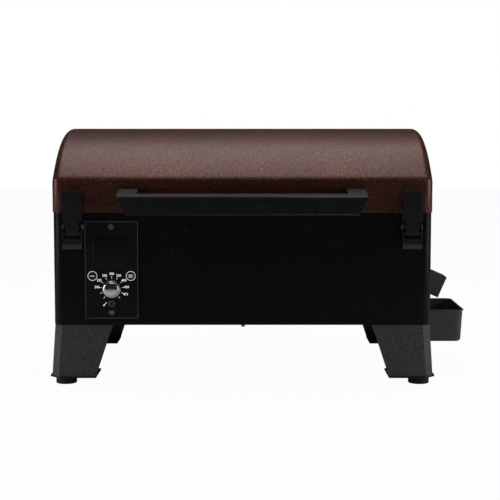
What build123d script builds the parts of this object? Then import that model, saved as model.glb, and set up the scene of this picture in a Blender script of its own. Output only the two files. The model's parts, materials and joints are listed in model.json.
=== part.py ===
from build123d import *
import math
import os

# A tabletop pellet smoker grill. Millimetres; X to the right, Y to the back, Z up from the ground.
# Places below are measured from the middle of the body; save() moves them to the part's own origin.

# Body tub
body_width = 540.0
body_depth = 360.0
body_height = 160.5
sheet = 1.6
corner_radius = 12.0
rim_width = 16.0
rim_corner = 4.0

# Legs and feet
foot_height = 10.0
foot_radius = 15.0
foot_inset_x = 19.3
foot_inset_y = 21.3
foot_recess_radius = 6.0
foot_recess_depth = 4.0
foot_plate_thick = 3.0
foot_tab = 2.7
leg_height = 76.5
leg_sheet = 2.5
leg_top_size = 84.0
leg_foot_size = 63.4
leg_flare = 4.7
leg_edge_inset = 0.4
leg_chamfer = 11.0
leg_bolt_radius = 3.0
leg_bolt_inset = 52.0
leg_bolt_step = 20.0
foot_screw_radius = 2.5

# Lid
lid_overhang = 1.0
lid_depth_overhang = 1.5
lid_gap = 0.4
lid_skirt = 48.6
lid_rise = 70.5
lid_bend_radius = 10.0
lid_end_radius = 12.0
lid_flange_width = 12.0
seal_height = 1.9
seal_width = 8.0
vent_count = 9
vent_length = 18.0
vent_width = 4.0

# Handle on the lid
handle_stand = 50.0
handle_bar = 18.0
handle_tall = 26.0
handle_top_length = 349.0
handle_low_length = 324.0
handle_arm = 27.0
handle_drop = 10.9
handle_edge = 1.5
handle_from_skirt_foot = -0.8
rib_count = 17
rib_pitch = 12.5
rib_width = 5.0
rib_depth = 1.0
rib_height = 15.0
handle_bolt_radius = 2.5

# Lid hinges
hinge_from_side = 70.0
hinge_length = 50.0
hinge_plate = 2.0
hinge_plate_height = 26.0
hinge_reach = 8.5
hinge_lift = 2.0
knuckle_radius = 5.0
knuckle_middle = 20.0
knuckle_gap = 0.3
hinge_pin_radius = 2.5
pin_clearance = 0.05
rivet_radius = 2.0
rivet_head = 4.0
body_rivet_drop = 25.0
lid_rivet_rise = 26.6

# Draw latches
latch_from_side = 30.0
latch_width = 27.5
lever_ear = 2.0
base_ear = 2.0
ear_gap = 0.35
hook_gap = 0.4
latch_rivet_drop = 15.0
latch_rivet_rise = 9.0
keeper_rivet_rise = 6.0
latch_plate = 2.0
latch_sheet = 1.6
latch_pin_radius = 2.0
latch_pivot_out = 9.0
latch_pivot_drop = 20.0
hook_pivot_out = 3.5
hook_pivot_drop = 8.0
hook_barrel_radius = 3.4
hook_top_above_seam = 32.5
hook_lip_gap = 0.4
keeper_reach = 5.8
keeper_height = 26.0

# Control panel
panel_from_side = 45.0
panel_width = 77.0
panel_height = 140.5
panel_above_floor = 9.0
panel_thick = 2.0
panel_corner = 4.0
control_width = 72.0
control_height = 109.0
control_depth = 36.0
control_above_floor = 23.5
board_behind_front = 10.0
board_thick = 1.6
board_above_jack = 2.0
display_width = 51.0
display_height = 45.0
display_above_floor = 84.5
knob_radius = 13.0
knob_length = 15.0
knob_above_floor = 52.5
knob_shaft_radius = 3.0
button_radius = 5.6
button_spread = 27.3
button_above_floor = 70.8
button_travel = 1.5
jack_above_floor = 31.0
jack_radius = 5.0
jack_bore_radius = 1.8
jack_bore_length = 14.0
panel_screw_low = 18.5
panel_screw_high = 141.2
panel_screw_radius = 2.0
panel_screw_head = 4.0

# Cooking grates and what lies under them
grate_side_gap = 20.0
grate_end_gap = 15.0
grate_thick = 6.0
grate_above_floor = 135.5
grate_slot = 7.0
grate_pitch = 12.0
grate_border = 10.0
grate_rail_from_side = 105.0
broiler_left_gap = 14.5
broiler_right_gap = 41.5
broiler_end_gap = 42.0
broiler_above_floor = 103.0
broiler_slope = 3.2
broiler_lip = 8.0
broiler_window = 80.0
slider_width = 112.0
slider_length = 100.0
slider_travel = 80.0
gutter_from_side = 36.0
gutter_end_gap = 30.0
gutter_low = 53.5
gutter_high = 78.5

# Grease spout and bucket on the right side
spout_width = 40.0
spout_height = 34.5
spout_slope = 23.5
spout_low = 33.0
spout_reach = 35.3
spout_flange = 10.0
bucket_top_width = 61.0
bucket_length = 137.0
bucket_height = 49.0
bucket_taper = 2.5
bucket_sheet = 1.2
bucket_rim = 1.5
bucket_rim_above_floor = 6.5
bucket_wall_gap = 2.0
bucket_corner = 9.0
bucket_bottom_radius = 4.5

# Burn pot, its housing, igniter and air duct
pot_radius = 38.0
pot_wall = 2.0
pot_low = 13.5
pot_height = 58.0
pot_rim_radius = 43.0
pot_rim_drop = 8.0
pot_hole_radius = 2.5
pot_hole_count = 12
pot_box_size = 96.0
pot_box_sheet = 1.5
igniter_radius = 3.0
igniter_length = 70.0
igniter_above_floor = 19.0
cleanout_radius = 3.0
cleanout_drop = 29.5

# Chamber probe on the left wall
probe_radius = 2.5
probe_y = 60.0
probe_above_floor = 125.0
probe_length = 45.0

# Auger, its tube and motor
auger_above_floor = 41.5
auger_tube_radius = 18.5
auger_tube_wall = 1.5
auger_tube_end = 88.0
flight_radius = 16.2
flight_pitch = 34.0
flight_thick = 2.4
auger_core_radius = 4.0
bushing_length = 6.0
motor_width = 56.0
motor_height = 52.0
motor_length = 42.0
motor_below_shaft = 24.0
motor_shaft_depth = 30.0

# Fan and the duct from it to the pot housing
duct_above_floor = 17.5
duct_height = 70.0
duct_round_fan = 5.0
duct_behind_box = 16.0
fan_x = 85.0
fan_above_floor = 53.5
fan_size = 60.0
fan_depth = 20.0
fan_bore = 27.0
fan_blade_count = 7
fan_blade_radius = 26.0
fan_hub_radius = 11.0

# Rear housing and hopper
housing_width = 280.0
housing_depth = 140.0
housing_low = 6.9
housing_high = 156.5
housing_flange = 12.0
bin_width = 260.0
bin_front = 10.0
bin_depth = 122.0
bin_straight = 38.0
bin_ledge = 6.0
outlet_width = 46.0
outlet_front = 33.0
outlet_depth = 48.0
bin_sheet = 1.5
guard_thick = 2.0
guard_slot = 14.0
guard_pitch = 20.0
hopper_lid_gap = 0.4
hopper_lid_skirt = 8.0
hopper_knuckle_radius = 4.0
hopper_pin_radius = 2.0
hopper_knuckle_inner = 40.0
hopper_knuckle_length = 20.0
hopper_hinge_out = 4.5
inlet_x = -90.0
inlet_above_floor = 43.5
inlet_width = 28.0
inlet_height = 48.0

fit = 0.1
flat_gap = 0.3

# Levels and faces worked out from the sizes above
body_low = foot_height + leg_height
body_high = body_low + body_height
floor_top = body_low + sheet
side = body_width / 2
front = -body_depth / 2
back = body_depth / 2
lid_low = body_high + lid_gap
lid_front = front - lid_depth_overhang
lid_back = back + lid_depth_overhang
lid_high = lid_low + lid_skirt + lid_rise
hinge_spread = side - hinge_from_side
latch_spread = side - latch_from_side
panel_x = -side + panel_from_side + panel_width / 2
grate_width = body_width - 2 * grate_side_gap
grate_depth = body_depth - 2 * grate_end_gap
grate_rail_length = body_width - 2 * grate_rail_from_side
broiler_length = body_width - broiler_left_gap - broiler_right_gap
broiler_depth = body_depth - 2 * broiler_end_gap
broiler_x = (broiler_left_gap - broiler_right_gap) / 2
gutter_left = side - gutter_from_side
gutter_depth = body_depth - 2 * gutter_end_gap
on_base = (Align.CENTER, Align.CENTER, Align.MIN)


def level(above_floor):
    """The height of something measured up from the body's underside."""
    return body_low + above_floor


def block(x0, x1, y0, y1, z0, z1):
    middle = Location(((x0 + x1) / 2, (y0 + y1) / 2, (z0 + z1) / 2))
    return middle * Box(x1 - x0, y1 - y0, z1 - z0)


def rod(radius, start, end):
    along = Vector(*end) - Vector(*start)
    return Plane(origin=start, z_dir=along) * Cylinder(radius, along.length, align=on_base)


def rod_x(radius, x0, x1, y, z):
    return rod(radius, (x0, y, z), (x1, y, z))


def rod_y(radius, x, y0, y1, z):
    return rod(radius, (x, y0, z), (x, y1, z))


def rod_z(radius, x, y, z0, z1):
    return rod(radius, (x, y, z0), (x, y, z1))


def upright(width, depth, radius, low, high):
    """A prism with rounded upright corners, centred on the body's middle."""
    return extrude(Plane.XY.offset(low) * RectangleRounded(width, depth, radius), amount=high - low)


def side_profile(points, x0, x1):
    """An outline of Y and Z values, carried along X."""
    return extrude(Plane.YZ.offset(x0) * Polygon(*points, align=None), amount=x1 - x0, dir=(1, 0, 0))


def front_profile(points, y0, y1):
    """An outline of X and Z values, carried along Y."""
    plane = Plane(origin=(0, y1, 0), x_dir=(1, 0, 0), z_dir=(0, -1, 0))
    return extrude(plane * Polygon(*points, align=None), amount=y1 - y0, dir=(0, -1, 0))


def both_sides(make):
    """Two mirror-image solids, one at each side."""
    return [make(sign) for sign in (-1, 1)]


def between(sign, near, far):
    """An X range on one side of the middle, lowest value first."""
    return sorted((sign * near, sign * far))


# Places that more than one piece uses
hinge_y = back + hinge_reach
hinge_z = body_high + hinge_lift
body_rivet_z = body_high - body_rivet_drop
lid_rivet_z = lid_low + lid_rivet_rise
base_ear_out = latch_width / 2 - lever_ear - ear_gap
hook_half = base_ear_out - base_ear - hook_gap
latch_pin_y = front - latch_pivot_out
latch_pin_z = body_high - latch_pivot_drop
hook_pin_y = latch_pin_y - hook_pivot_out
hook_pin_z = latch_pin_z - hook_pivot_drop
auger_z = level(auger_above_floor)
auger_tube_back = back + auger_tube_end
fan_z = level(fan_above_floor)
housing_back = back + housing_depth
housing_floor = level(housing_low)
housing_top = level(housing_high)
housing_side = housing_width / 2
bin_low = housing_top - bin_straight
outlet_z = auger_z + auger_tube_radius + 0.5
hopper_hinge_y = housing_back + hopper_hinge_out
hopper_hinge_z = housing_top + sheet - 0.6
hopper_lid_low = housing_top + sheet + hopper_lid_gap
panel_low = level(panel_above_floor)
panel_face = front - panel_thick
knob_z = level(knob_above_floor)
button_z = level(button_above_floor)
jack_z = level(jack_above_floor)
board_front = front + board_behind_front
board_back = board_front + board_thick
board_low = jack_z + jack_radius + board_above_jack
grate_low = level(grate_above_floor)
grate_rest = grate_low - sheet
igniter_z = level(igniter_above_floor)
pot_floor = level(pot_low)
pot_top = pot_floor + pot_height
pot_box_top = pot_top - pot_rim_drop
duct_low = level(duct_above_floor)
duct_high = duct_low + duct_height
duct_right = fan_x + fan_size / 2 + duct_round_fan
duct_front = -pot_box_size / 2 + duct_behind_box
spout_wall_low = level(spout_low)
bucket_rim_z = level(bucket_rim_above_floor)
bucket_left = side + bucket_wall_gap
bucket_middle = bucket_left + bucket_rim + bucket_top_width / 2
foot_x = side - leg_edge_inset + leg_flare - foot_inset_x
foot_y = back - leg_edge_inset + leg_flare - foot_inset_y
leg_bolt_x = side - leg_bolt_inset
leg_bolt_y = back - leg_bolt_inset
keeper_low = lid_low + 11.0
keeper_top = lid_low + keeper_height
lever_foot = latch_pin_z - 24.0
handle_low = lid_low + handle_from_skirt_foot
handle_high = handle_low + handle_tall
handle_front = lid_front - handle_stand
handle_rear = handle_front + handle_bar
handle_root = handle_high + handle_drop
handle_bolt_x = handle_top_length / 2 - handle_arm / 2
handle_bolt_levels = (handle_root - 17.0, handle_root - 7.0)

# The part's own origin: under the middle of its whole box, on the ground
part_left = -(side - leg_edge_inset + leg_flare + foot_tab)
part_right = side + bucket_wall_gap + bucket_top_width + 2 * bucket_rim
part_front = handle_front
part_back = hopper_hinge_y + hopper_knuckle_radius
origin_shift = Location((-(part_left + part_right) / 2, -(part_front + part_back) / 2, 0))


def bolt_holes(shape, radius, places):
    """Bores for fasteners, each place a start and an end point."""
    for start, end in places:
        shape -= rod(radius + fit, start, end)
    return shape


def fastener(radius, head, start, end, head_thick=2.0, nut_thick=2.0):
    """A headed pin closed at both ends: the heads lie outside start and end."""
    along = (Vector(*end) - Vector(*start)).normalized()
    head_start = Vector(*start) - along * head_thick
    nut_end = Vector(*end) + along * nut_thick
    shank = rod(radius, tuple(head_start), tuple(nut_end))
    return shank + rod(head, tuple(head_start), start) + rod(head, end, tuple(nut_end))


def hinge_rivet_places(x, z, outer, inner):
    reach = hinge_length / 2 - 10
    return [((x + step, outer, z), (x + step, inner, z)) for step in (-reach, reach)]


def body_rivets():
    places = []
    for sign in (-1, 1):
        places += hinge_rivet_places(sign * hinge_spread, body_rivet_z, back + hinge_plate, back - sheet)
    return places


def lid_rivets():
    places = []
    for sign in (-1, 1):
        places += hinge_rivet_places(sign * hinge_spread, lid_rivet_z, lid_back + hinge_plate, lid_back - sheet)
    return places


def latch_rivets():
    places = []
    for sign in (-1, 1):
        x = sign * latch_spread
        for z in (latch_pin_z - latch_rivet_drop, latch_pin_z + latch_rivet_rise):
            places.append(((x, front - latch_plate, z), (x, front + sheet, z)))
    return places


def keeper_rivets():
    z = keeper_low + keeper_rivet_rise
    return [
        ((x, lid_front - latch_sheet, z), (x, lid_front + sheet, z))
        for x in (-latch_spread, latch_spread)
    ]


def panel_screw_places():
    return [
        ((panel_x, panel_face, level(height)), (panel_x, front + sheet, level(height)))
        for height in (panel_screw_low, panel_screw_high)
    ]


def leg_bolt_places():
    places = []
    for x in (-leg_bolt_x, leg_bolt_x):
        for sign in (-1, 1):
            for step in (-leg_bolt_step, leg_bolt_step):
                y = sign * (leg_bolt_y + step)
                places.append(((x, y, floor_top), (x, y, body_low - leg_sheet)))
    return places


def handle_bolt_places():
    return [
        ((sign * handle_bolt_x, lid_front + sheet, height), (sign * handle_bolt_x, lid_front - 16.0, height))
        for sign in (-1, 1) for height in handle_bolt_levels
    ]


def spout_screw_places():
    across = spout_width / 2 + spout_flange / 2
    heights = (spout_wall_low - 1.0, level(gutter_high) + rivet_head + 1.0)
    return [
        ((side + sheet, y, height), (side - sheet, y, height))
        for y in (-across, across) for height in heights
    ]


def body_shell():
    outer = upright(body_width, body_depth, corner_radius, body_low, body_high)
    room = upright(body_width - 2 * sheet, body_depth - 2 * sheet, corner_radius - sheet,
                   floor_top, body_high - sheet)
    mouth = upright(body_width - 2 * rim_width, body_depth - 2 * rim_width, rim_corner,
                    body_high - 2 * sheet, body_high + sheet)
    shell = outer - room - mouth
    control_low = level(control_above_floor)
    half = control_width / 2 + flat_gap
    shell -= block(panel_x - half, panel_x + half, front - 1, front + sheet + 1,
                   control_low - flat_gap, control_low + control_height + flat_gap)
    shell -= rod_y(auger_tube_radius + fit, 0, back - 5, back + 5, auger_z)
    shell -= rod_y(fan_bore, fan_x, back - 5, back + 5, fan_z)
    half_passage = spout_width / 2 - 3
    shell -= block(side - 5, side + 5, -half_passage, half_passage, level(gutter_low) + sheet, level(gutter_high) - 5)
    shell -= rod_x(probe_radius + fit, -side - 1, -side + 5, probe_y, probe_z)
    shell -= rod_z(cleanout_radius + fit, 0, 0, body_low - 1, floor_top + 1)
    shell = bolt_holes(shell, leg_bolt_radius, leg_bolt_places())
    shell = bolt_holes(shell, rivet_radius, body_rivets() + latch_rivets())
    shell = bolt_holes(shell, panel_screw_radius, panel_screw_places())
    return bolt_holes(shell, rivet_radius, spout_screw_places())


probe_z = level(probe_above_floor)


def chamber_probe():
    stem = rod_x(probe_radius, -side - sheet, -side + probe_length, probe_y, probe_z)
    return stem + rod_x(probe_radius + 3, -side + sheet, -side + 2 * sheet, probe_y, probe_z)


def lid_form(inset):
    """The lid's outline as a full solid, drawn in by inset all round."""
    half = body_depth / 2 + lid_depth_overhang
    skirt_top = lid_low + lid_skirt
    arch = (half ** 2 + lid_rise ** 2) / (2 * lid_rise)
    arch_centre = lid_high - arch
    half_in = half - inset
    low = lid_low - (1.0 if inset else 0.0)
    bend_z = arch_centre + math.sqrt((arch - inset) ** 2 - half_in ** 2) if inset else skirt_top
    up_front = Line((-half_in, low), (-half_in, bend_z))
    top = ThreePointArc((-half_in, bend_z), (0, lid_high - inset), (half_in, bend_z))
    down_back = Line((half_in, bend_z), (half_in, low))
    foot = Line((half_in, low), (-half_in, low))
    outline = make_face([up_front, top, down_back, foot])
    bends = outline.vertices().sort_by(Axis.Y)[-2:]
    outline = fillet(bends, lid_bend_radius - inset)
    width = body_width + 2 * lid_overhang - 2 * inset
    form = extrude(Plane.YZ.offset(-width / 2) * outline, amount=width, dir=(1, 0, 0))
    ends = form.edges().filter_by_position(Axis.X, -width / 2 - 0.01, -width / 2 + 0.01)
    ends += form.edges().filter_by_position(Axis.X, width / 2 - 0.01, width / 2 + 0.01)
    ends = [edge for edge in ends if edge.center().Z > low + 0.01]
    return fillet(ends, lid_end_radius - inset)


def lid_shell():
    shell = lid_form(0) - lid_form(sheet)
    inner_width = body_width + 2 * lid_overhang - 2 * sheet
    inner_depth = body_depth + 2 * lid_depth_overhang - 2 * sheet
    flange_low = body_high + seal_height + flat_gap
    flange = upright(inner_width + 1, inner_depth + 1, lid_end_radius - sheet, flange_low, flange_low + sheet)
    flange -= upright(inner_width - 2 * lid_flange_width, inner_depth - 2 * lid_flange_width, rim_corner,
                      flange_low - 1, flange_low + sheet + 1)
    shell += flange
    for index in range(vent_count):
        x = (index - (vent_count - 1) / 2) * vent_length * 1.6
        slot = block(x - vent_length / 2, x + vent_length / 2, lid_back - 5, lid_back + 5,
                     lid_low + 24, lid_low + 24 + vent_width)
        shell -= slot
    shell = bolt_holes(shell, rivet_radius, lid_rivets() + keeper_rivets())
    return bolt_holes(shell, handle_bolt_radius, handle_bolt_places())


def lid_seal():
    low_width = body_width - 8
    low_depth = body_depth - 8
    ring = upright(low_width, low_depth, corner_radius - 4, body_high, body_high + seal_height)
    hole = upright(low_width - 2 * seal_width, low_depth - 2 * seal_width, rim_corner - 1,
                   body_high - 1, body_high + seal_height + 1)
    return ring - hole


def rounded_profile(points, radius, x0, x1):
    outline = Polygon(*points, align=None)
    outline = fillet(outline.vertices(), radius)
    return extrude(Plane.YZ.offset(x0) * outline, amount=x1 - x0, dir=(1, 0, 0))


def lid_handle():
    half = handle_top_length / 2
    bar_root = handle_high + handle_drop * handle_bar / handle_stand
    bar = [(handle_front, handle_high), (handle_front, handle_low), (handle_rear, handle_low),
           (handle_rear, bar_root)]
    handle = rounded_profile(bar, handle_edge, -half, half)
    arm_low = handle_root - 21.5
    arm = [(lid_front, handle_root), (handle_front + handle_edge, handle_high + 0.33),
           (handle_front + handle_edge, handle_low + handle_edge), (handle_rear, handle_low + handle_edge),
           (handle_rear, arm_low - 6), (lid_front, arm_low)]
    for sign in (-1, 1):
        x0, x1 = between(sign, half - handle_arm, half)
        handle += side_profile(arm, x0, x1)
    slope = (handle_top_length - handle_low_length) / 2
    for sign in (-1, 1):
        wedge = [(sign * (half - slope), handle_low - 1), (sign * half, handle_high),
                 (sign * (half + 20), handle_high), (sign * (half + 20), handle_low - 1)]
        handle -= front_profile(wedge, handle_front - 5, lid_front + 5)
    rib_middle = (handle_low + handle_high) / 2
    rib_run = rib_pitch * (rib_count - 1) / 2 + rib_width
    rib_low = rib_middle - rib_height / 2
    handle -= block(-rib_run, rib_run, handle_front - 1, handle_front + rib_depth, rib_low, rib_low + rib_height)
    for index in range(rib_count):
        x = (index - (rib_count - 1) / 2) * rib_pitch
        handle += block(x - rib_width / 2, x + rib_width / 2, handle_front + 0.2, handle_front + rib_depth + 1,
                        rib_low + 2, rib_low + rib_height - 2)
    return bolt_holes(handle, handle_bolt_radius, handle_bolt_places())


def handle_bolts():
    bolts = []
    for start, end in handle_bolt_places():
        shank = rod(handle_bolt_radius, start, end)
        head_back = (start[0], start[1] + 2.5, start[2])
        bolts.append(shank + rod(handle_bolt_radius + 2, start, head_back))
    return bolts


def hinge_leaf(x, plate_y, direction, knuckles):
    """One leaf: a plate below (-1) or above (1) the axis, and a web to its own knuckles."""
    near = hinge_z + direction * (knuckle_radius + 3)
    far = near + direction * hinge_plate_height
    low, high = sorted((near, far))
    half = hinge_length / 2
    leaf = block(x - half, x + half, plate_y, plate_y + hinge_plate, low, high)
    for x0, x1 in knuckles:
        web = [(plate_y, near + direction * 4), (plate_y + hinge_plate, near + direction * 4),
               (hinge_y + knuckle_radius, hinge_z + direction * 1.5), (hinge_y + knuckle_radius, hinge_z),
               (hinge_y - knuckle_radius, hinge_z), (plate_y, near)]
        leaf += side_profile(web, x + x0, x + x1)
        leaf += rod_x(knuckle_radius, x + x0, x + x1, hinge_y, hinge_z)
    return leaf - rod_x(hinge_pin_radius + pin_clearance, x - half - 1, x + half + 1, hinge_y, hinge_z)


def body_hinge_leaf(sign):
    outer = hinge_length / 2
    inner = knuckle_middle / 2 + knuckle_gap
    leaf = hinge_leaf(sign * hinge_spread, back, -1, [(-outer, -inner), (inner, outer)])
    return bolt_holes(leaf, rivet_radius, body_rivets())


def lid_hinge_leaf(sign):
    half = knuckle_middle / 2
    leaf = hinge_leaf(sign * hinge_spread, lid_back, 1, [(-half, half)])
    return bolt_holes(leaf, rivet_radius, lid_rivets())


def hinge_pin(sign):
    half = hinge_length / 2
    x = sign * hinge_spread
    pin = rod_x(hinge_pin_radius, x - half - 2, x + half + 2, hinge_y, hinge_z)
    for end in (-1, 1):
        x0, x1 = between(end, half + fit, half + 2)
        pin += rod_x(hinge_pin_radius + 1.5, x + x0, x + x1, hinge_y, hinge_z)
    return pin


def rivets(places):
    return [fastener(rivet_radius, rivet_head, start, end, 1.5, 1.0) for start, end in places]


def pin_across(x, half, y, z):
    """A latch pin with a thin head at each end, just outside the ears."""
    pin = rod_x(latch_pin_radius, x - half - 1.1, x + half + 1.1, y, z)
    for end in (-1, 1):
        x0, x1 = between(end, half + fit, half + 1.1)
        pin += rod_x(latch_pin_radius + 1, x + x0, x + x1, y, z)
    return pin


def latch_base(sign):
    x = sign * latch_spread
    base = block(x - 13, x + 13, front - latch_plate, front, latch_pin_z - 21, latch_pin_z + 13)
    for end in (-1, 1):
        x0, x1 = between(end, base_ear_out - base_ear, base_ear_out)
        ear = block(x + x0, x + x1, latch_pin_y, front - latch_plate, latch_pin_z - 5, latch_pin_z + 5)
        base += ear + rod_x(5, x + x0, x + x1, latch_pin_y, latch_pin_z)
    base -= rod_x(latch_pin_radius + pin_clearance, x - 15, x + 15, latch_pin_y, latch_pin_z)
    return bolt_holes(base, rivet_radius, latch_rivets())


def latch_lever(sign):
    x = sign * latch_spread
    half = latch_width / 2
    face = latch_pin_y - 8.0
    ear = [(latch_pin_y - 6, latch_pin_z), (face, hook_pin_z), (face, lever_foot), (latch_pin_y - 1, lever_foot),
           (latch_pin_y + 2.5, hook_pin_z - 5), (latch_pin_y + 6, latch_pin_z)]
    lever = block(x - half, x + half, face, face + latch_sheet, lever_foot, lever_foot + 8)
    for end in (-1, 1):
        x0, x1 = between(end, half - lever_ear, half)
        lever += side_profile(ear, x + x0, x + x1) + rod_x(6, x + x0, x + x1, latch_pin_y, latch_pin_z)
    lip = [(face, lever_foot + 0.5), (face + latch_sheet, lever_foot + 0.5), (face - 3.0, lever_foot - 6),
           (face - 4.6, lever_foot - 5.6)]
    lever += side_profile(lip, x - half, x + half)
    for y, z in ((latch_pin_y, latch_pin_z), (hook_pin_y, hook_pin_z)):
        lever -= rod_x(latch_pin_radius + pin_clearance, x - 15, x + 15, y, z)
    return lever


def latch_hook(sign):
    x = sign * latch_spread
    half = latch_width / 2
    face = hook_pin_y - hook_barrel_radius
    shoulder = hook_pin_z + 17
    top = body_high + hook_top_above_seam
    hook = block(x - hook_half, x + hook_half, face, face + latch_sheet, hook_pin_z, shoulder + 1)
    hook += rod_x(hook_barrel_radius, x - hook_half, x + hook_half, hook_pin_y, hook_pin_z)
    cover = block(x - half, x + half, face, face + latch_sheet, shoulder, top)
    for end in (-1, 1):
        x0, x1 = between(end, half - latch_sheet, half)
        cover += block(x + x0, x + x1, face, face + 4.9, shoulder + 4, top - 3.5)
    lip_low = keeper_top + flat_gap
    tip = lid_front - keeper_reach - hook_lip_gap
    cover += block(x - half + 5, x + half - 5, face, tip, lip_low, lip_low + latch_sheet)
    hook += cover
    return hook - rod_x(latch_pin_radius + pin_clearance, x - 15, x + 15, hook_pin_y, hook_pin_z)


def latch_keeper(sign):
    x = sign * latch_spread
    keeper = block(x - 9, x + 9, lid_front - latch_sheet, lid_front, keeper_low, keeper_top)
    keeper += block(x - 9, x + 9, lid_front - keeper_reach, lid_front, keeper_top - latch_sheet, keeper_top)
    return bolt_holes(keeper, rivet_radius, keeper_rivets())


def leg_outline(z, inset, extra, sx, sy):
    """A leg's section at one height; inset for the inside, extra past its open edges."""
    share = (body_low - z) / leg_height
    flare = leg_flare * share
    size = leg_top_size + (leg_foot_size - leg_top_size) * share
    x_out = side - leg_edge_inset + flare
    y_out = back - leg_edge_inset + flare
    x_in = x_out - size - extra
    y_in = y_out - size - extra
    cut = leg_chamfer + inset * (math.sqrt(2) - 1) - inset + inset
    x_out -= inset
    y_out -= inset
    points = [(x_in, y_in), (x_out, y_in), (x_out, y_out - cut), (x_out - cut, y_out), (x_in, y_out)]
    return Plane.XY.offset(z) * Polygon(*[(sx * x, sy * y) for x, y in points], align=None)


def leg(sx, sy):
    low = foot_height + foot_plate_thick
    outer = loft([leg_outline(low, 0, 0, sx, sy), leg_outline(body_low, 0, 0, sx, sy)])
    under = low - 1
    top = body_low - leg_sheet
    room = loft([leg_outline(under, leg_sheet, 5, sx, sy), leg_outline(top, leg_sheet, 5, sx, sy)])
    return bolt_holes(outer - room, leg_bolt_radius, leg_bolt_places())


def foot_plate(sx, sy):
    top = foot_height + foot_plate_thick
    section = leg_outline(top, 0, 0, sx, sy)
    plate = extrude(section, amount=foot_plate_thick, dir=(0, 0, -1))
    x_out = side - leg_edge_inset + leg_flare
    y_out = back - leg_edge_inset + leg_flare
    x0, x1 = between(sx, x_out - 4, x_out + foot_tab)
    y0, y1 = between(sy, y_out - 28, y_out - 13)
    plate += block(x0, x1, y0, y1, foot_height, top)
    return plate - rod_z(foot_screw_radius + fit, sx * foot_x, sy * foot_y, foot_height - 1, top + 1)


def foot(sx, sy):
    pad = rod_z(foot_radius, sx * foot_x, sy * foot_y, 0, foot_height)
    pad = fillet(pad.edges().group_by(Axis.Z)[0], 1.2)
    pad -= rod_z(foot_recess_radius, sx * foot_x, sy * foot_y, -1, foot_recess_depth)
    return pad - rod_z(foot_screw_radius + fit, sx * foot_x, sy * foot_y, 0, foot_height + 1)


def foot_screw(sx, sy):
    x = sx * foot_x
    y = sy * foot_y
    top = foot_height + foot_plate_thick
    screw = rod_z(foot_screw_radius, x, y, foot_recess_depth - 2.5, top + 5)
    screw += rod_z(foot_recess_radius - 1, x, y, foot_recess_depth - 2.5, foot_recess_depth)
    return screw + rod_z(4.5, x, y, top, top + 3)


def each_corner(make):
    return [make(sx, sy) for sx in (-1, 1) for sy in (-1, 1)]


def panel_plate():
    plane = Plane(origin=(panel_x, front, panel_low + panel_height / 2), x_dir=(1, 0, 0), z_dir=(0, -1, 0))
    plate = extrude(plane * RectangleRounded(panel_width, panel_height, panel_corner), amount=panel_thick)
    half = display_width / 2 + fit
    low = level(display_above_floor)
    plate -= block(panel_x - half, panel_x + half, panel_face - 1, front + 1, low - fit, low + display_height + fit)
    plate -= rod_y(knob_shaft_radius + pin_clearance, panel_x, panel_face - 1, front + 1, knob_z)
    plate -= rod_y(jack_radius - 1 + fit, panel_x, panel_face - 1, front + 1, jack_z)
    for sign in (-1, 1):
        plate -= rod_y(button_radius + 0.08, panel_x + sign * button_spread, panel_face - 1, front + 1, button_z)
    return bolt_holes(plate, panel_screw_radius, panel_screw_places())


def panel_screws():
    screws = []
    for start, end in panel_screw_places():
        head_front = (start[0], start[1] - 2.0, start[2])
        head = rod(panel_screw_head, head_front, start)
        head = fillet(head.edges().group_by(Axis.Y)[0], 1.0)
        screws.append(head + rod(panel_screw_radius, head_front, (end[0], end[1] + 3.0, end[2])))
    return screws


def display_window():
    low = level(display_above_floor)
    half = display_width / 2
    glass = block(panel_x - half, panel_x + half, panel_face - 0.4, front, low, low + display_height)
    return glass


def control_box():
    half = control_width / 2
    low = level(control_above_floor)
    rear = front + control_depth
    box = block(panel_x - half, panel_x + half, front, rear, low, low + control_height)
    box -= block(panel_x - half + sheet, panel_x + half - sheet, front - 1, rear - sheet,
                 low + sheet, low + control_height - sheet)
    for x in (panel_x - half + 8, panel_x + half - 8):
        for z in (board_low + 5, low + control_height - 8):
            box += rod_y(3, x, board_back, rear - sheet, z)
    return box


def control_board():
    half = control_width / 2 - sheet - 1
    high = level(control_above_floor) + control_height - sheet - 1
    board = block(panel_x - half, panel_x + half, board_front, board_back, board_low, high)
    for sign in (-1, 1):
        board += rod_y(3, panel_x + sign * button_spread, board_front - 2, board_front, button_z)
    display_low = level(display_above_floor)
    return board + block(panel_x - 20, panel_x + 20, front + 1, board_front, display_low + 5,
                         display_low + display_height - 5)


def dial_switch():
    can = rod_y(8, panel_x, front + flat_gap, board_front, knob_z)
    return can - rod_y(knob_shaft_radius + pin_clearance, panel_x, front - 1, board_front - 0.5, knob_z)


def control_knob():
    near = panel_face - 0.6
    cap = rod_y(knob_radius, panel_x, near - 3, near, knob_z)
    grip = rod_y(knob_radius - 1.8, panel_x, near - knob_length, near - 3, knob_z)
    grip = fillet(grip.edges().group_by(Axis.Y)[0], 1.5)
    pointer = block(panel_x - 0.8, panel_x + 0.8, near - knob_length - 1, near - knob_length + 1,
                    knob_z - knob_radius + 3, knob_z - 2)
    shaft = rod_y(knob_shaft_radius, panel_x, near - 1, board_front - 2, knob_z)
    return cap + grip - pointer + shaft


def push_button(sign):
    x = panel_x + sign * button_spread
    rest = front + 0.2
    cap = rod_y(button_radius, x, panel_face - 1.8, rest, button_z)
    cap = fillet(cap.edges().group_by(Axis.Y)[0], 0.5)
    collar = rod_y(button_radius + 1, x, rest, rest + 1, button_z)
    stem_end = board_front - 2 - button_travel - 0.4
    return cap + collar + rod_y(2.2, x, rest, stem_end, button_z)


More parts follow.
